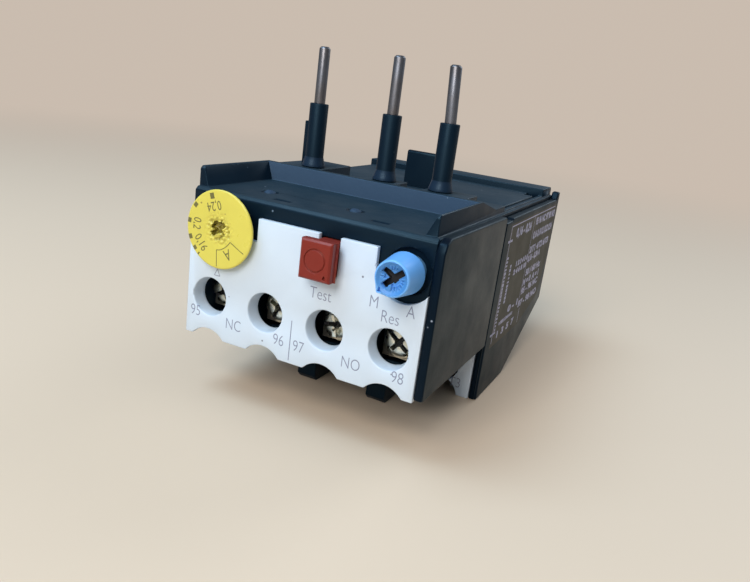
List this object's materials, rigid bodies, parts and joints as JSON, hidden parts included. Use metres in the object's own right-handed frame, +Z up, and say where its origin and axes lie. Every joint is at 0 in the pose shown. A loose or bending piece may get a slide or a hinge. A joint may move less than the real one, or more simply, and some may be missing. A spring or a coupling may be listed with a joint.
{
  "type": "thermal overload relay",
  "caption": "Plug-in thermal overload relay with current setting dial, test and reset buttons, control terminals and line pins for a contactor.",
  "frame": {"origin": "middle of the footprint, on the surface the relay rests on", "axes": "+X to the right seen from the front, +Y from the front to the rear, +Z up along the line pins"},
  "size_m": [0.045, 0.079, 0.0606],
  "materials": {
    "black_plastic": "matte moulded",
    "cover_plastic": "matte moulded, finely eroded",
    "white_plastic": "satin moulded",
    "yellow_plastic": "satin moulded",
    "cam_plastic": "natural nylon",
    "red_plastic": "satin moulded",
    "blue_plastic": "satin moulded",
    "plunger_plastic": "satin moulded",
    "spring_steel": "drawn wire",
    "zinc_steel": "zinc plated, passivated",
    "clamp_steel": "zinc plated",
    "contact_brass": "stamped strip",
    "copper": "stamped copper",
    "tinned_copper": "dull tinned",
    "bimetal_steel": "rolled strip",
    "heater_wire": "oxidised resistance wire"
  },
  "bodies": {
    "case": {"housing": "black_plastic", "side_cover": "cover_plastic", "top_cover": "black_plastic", "contactor_hook": "black_plastic", "front_plate": "white_plastic", "terminal_plate": "white_plastic", "lever_pin": "spring_steel", "contact_bar_95": "contact_brass", "contact_bar_96": "contact_brass", "contact_bar_97": "contact_brass", "contact_bar_98": "contact_brass", "load_strap_1": "copper", "load_strap_2": "copper", "load_strap_3": "copper", "line_pin_1": "tinned_copper", "line_pin_2": "tinned_copper", "line_pin_3": "tinned_copper", "pin_sleeve_1": "black_plastic", "pin_sleeve_2": "black_plastic", "pin_sleeve_3": "black_plastic"},
    "dial": {"setting_dial": "yellow_plastic", "dial_cam": "cam_plastic"},
    "test_button": {"test_button": "red_plastic", "test_spring": "spring_steel"},
    "reset_plunger": {"reset_plunger": "plunger_plastic", "reset_spring": "spring_steel"},
    "reset_knob": {"reset_knob": "blue_plastic"},
    "clamp_95": {"clamp_95": "clamp_steel"},
    "screw_95": {"screw_95": "zinc_steel"},
    "clamp_96": {"clamp_96": "clamp_steel"},
    "screw_96": {"screw_96": "zinc_steel"},
    "clamp_97": {"clamp_97": "clamp_steel"},
    "screw_97": {"screw_97": "zinc_steel"},
    "clamp_98": {"clamp_98": "clamp_steel"},
    "screw_98": {"screw_98": "zinc_steel"},
    "main_clamp_1": {"main_clamp_1": "clamp_steel"},
    "main_screw_1": {"main_screw_1": "zinc_steel"},
    "main_clamp_2": {"main_clamp_2": "clamp_steel"},
    "main_screw_2": {"main_screw_2": "zinc_steel"},
    "main_clamp_3": {"main_clamp_3": "clamp_steel"},
    "main_screw_3": {"main_screw_3": "zinc_steel"},
    "contact_carrier": {"contact_carrier": "cam_plastic", "break_bridge": "contact_brass", "make_bridge": "contact_brass"},
    "trip_slide": {"trip_slide": "cam_plastic"},
    "bimetal_1": {"bimetal_1": "bimetal_steel", "heater_1": "heater_wire"},
    "bimetal_2": {"bimetal_2": "bimetal_steel", "heater_2": "heater_wire"},
    "bimetal_3": {"bimetal_3": "bimetal_steel", "heater_3": "heater_wire"},
    "trip_lever": {"trip_lever": "bimetal_steel"}
  },
  "joints": [
    {"name": "dial_turn", "type": "hinge", "parent": "case", "child": "dial", "pos_m": [-0.0152, -0.0345, 0.0302], "axis": [0, 1, 0], "range_deg": [-185, 0]},
    {"name": "test_press", "type": "slide", "parent": "case", "child": "test_button", "axis": [0, 1, 0], "range_m": [0, 0.0015], "stiffness_N_per_m": 900, "springref_m": -0.0015, "deforming": ["test_spring"]},
    {"name": "reset_press", "type": "slide", "parent": "case", "child": "reset_plunger", "axis": [0, 1, 0], "range_m": [0, 0.002], "stiffness_N_per_m": 900, "springref_m": -0.0015, "deforming": ["reset_spring"]},
    {"name": "reset_select", "type": "hinge", "parent": "reset_plunger", "child": "reset_knob", "pos_m": [0.01705, -0.037, 0.0304], "axis": [0, 1, 0], "range_deg": [-83, 0]},
    {"name": "clamp_95_slide", "type": "slide", "parent": "case", "child": "clamp_95", "axis": [0, 1, 0], "range_m": [-0.0024, 0]},
    {"name": "screw_95_turn", "type": "hinge", "parent": "clamp_95", "child": "screw_95", "pos_m": [-0.01735, 0, 0.0181], "axis": [0, 1, 0], "range_deg": [-1441, 0]},
    {"name": "clamp_96_slide", "type": "slide", "parent": "case", "child": "clamp_96", "axis": [0, 1, 0], "range_m": [-0.0024, 0]},
    {"name": "screw_96_turn", "type": "hinge", "parent": "clamp_96", "child": "screw_96", "pos_m": [-0.00625, 0, 0.0181], "axis": [0, 1, 0], "range_deg": [-1441, 0]},
    {"name": "clamp_97_slide", "type": "slide", "parent": "case", "child": "clamp_97", "axis": [0, 1, 0], "range_m": [-0.0024, 0]},
    {"name": "screw_97_turn", "type": "hinge", "parent": "clamp_97", "child": "screw_97", "pos_m": [0.00485, 0, 0.0181], "axis": [0, 1, 0], "range_deg": [-1441, 0]},
    {"name": "clamp_98_slide", "type": "slide", "parent": "case", "child": "clamp_98", "axis": [0, 1, 0], "range_m": [-0.0024, 0]},
    {"name": "screw_98_turn", "type": "hinge", "parent": "clamp_98", "child": "screw_98", "pos_m": [0.01595, 0, 0.0181], "axis": [0, 1, 0], "range_deg": [-1441, 0]},
    {"name": "main_clamp_1_slide", "type": "slide", "parent": "case", "child": "main_clamp_1", "axis": [0, 1, 0], "range_m": [-0.0035, 0]},
    {"name": "main_screw_1_turn", "type": "hinge", "parent": "main_clamp_1", "child": "main_screw_1", "pos_m": [-0.0145, 0, 0.0059], "axis": [0, 1, 0], "range_deg": [-1801, 0]},
    {"name": "main_clamp_2_slide", "type": "slide", "parent": "case", "child": "main_clamp_2", "axis": [0, 1, 0], "range_m": [-0.0035, 0]},
    {"name": "main_screw_2_turn", "type": "hinge", "parent": "main_clamp_2", "child": "main_screw_2", "pos_m": [0, 0, 0.0059], "axis": [0, 1, 0], "range_deg": [-1801, 0]},
    {"name": "main_clamp_3_slide", "type": "slide", "parent": "case", "child": "main_clamp_3", "axis": [0, 1, 0], "range_m": [-0.0035, 0]},
    {"name": "main_screw_3_turn", "type": "hinge", "parent": "main_clamp_3", "child": "main_screw_3", "pos_m": [0.0145, 0, 0.0059], "axis": [0, 1, 0], "range_deg": [-1801, 0]},
    {"name": "carrier_slide", "type": "slide", "parent": "case", "child": "contact_carrier", "axis": [0, 1, 0], "range_m": [0, 0.0016]},
    {"name": "trip_travel", "type": "slide", "parent": "case", "child": "trip_slide", "axis": [-1, 0, 0], "range_m": [0, 0.0014]},
    {"name": "bimetal_1_bend", "type": "hinge", "parent": "case", "child": "bimetal_1", "pos_m": [-0.0145, 0.014, 0.0152], "axis": [0, -1, 0], "range_deg": [0, 5.6]},
    {"name": "bimetal_2_bend", "type": "hinge", "parent": "case", "child": "bimetal_2", "pos_m": [0, 0.014, 0.0152], "axis": [0, -1, 0], "range_deg": [0, 5.6]},
    {"name": "bimetal_3_bend", "type": "hinge", "parent": "case", "child": "bimetal_3", "pos_m": [0.0145, 0.014, 0.0152], "axis": [0, -1, 0], "range_deg": [0, 5.6]},
    {"name": "lever_swing", "type": "hinge", "parent": "case", "child": "trip_lever", "pos_m": [-0.0188, -0.007, 0.028], "axis": [0, 0, 1], "range_deg": [0, 4]}
  ],
  "couplings": [
    {"joint": "screw_95_turn", "follows": "clamp_95_slide", "rad_per_m": 10472},
    {"joint": "screw_96_turn", "follows": "clamp_96_slide", "rad_per_m": 10472},
    {"joint": "screw_97_turn", "follows": "clamp_97_slide", "rad_per_m": 10472},
    {"joint": "screw_98_turn", "follows": "clamp_98_slide", "rad_per_m": 10472},
    {"joint": "main_screw_1_turn", "follows": "main_clamp_1_slide", "rad_per_m": 8976},
    {"joint": "main_screw_2_turn", "follows": "main_clamp_2_slide", "rad_per_m": 8976},
    {"joint": "main_screw_3_turn", "follows": "main_clamp_3_slide", "rad_per_m": 8976},
    {"joint": "bimetal_1_bend", "follows": "trip_travel", "rad_per_m": 67.568},
    {"joint": "bimetal_2_bend", "follows": "trip_travel", "rad_per_m": 67.568},
    {"joint": "bimetal_3_bend", "follows": "trip_travel", "rad_per_m": 67.568},
    {"joint": "lever_swing", "follows": "trip_travel", "rad_per_m": 47.619}
  ]
}
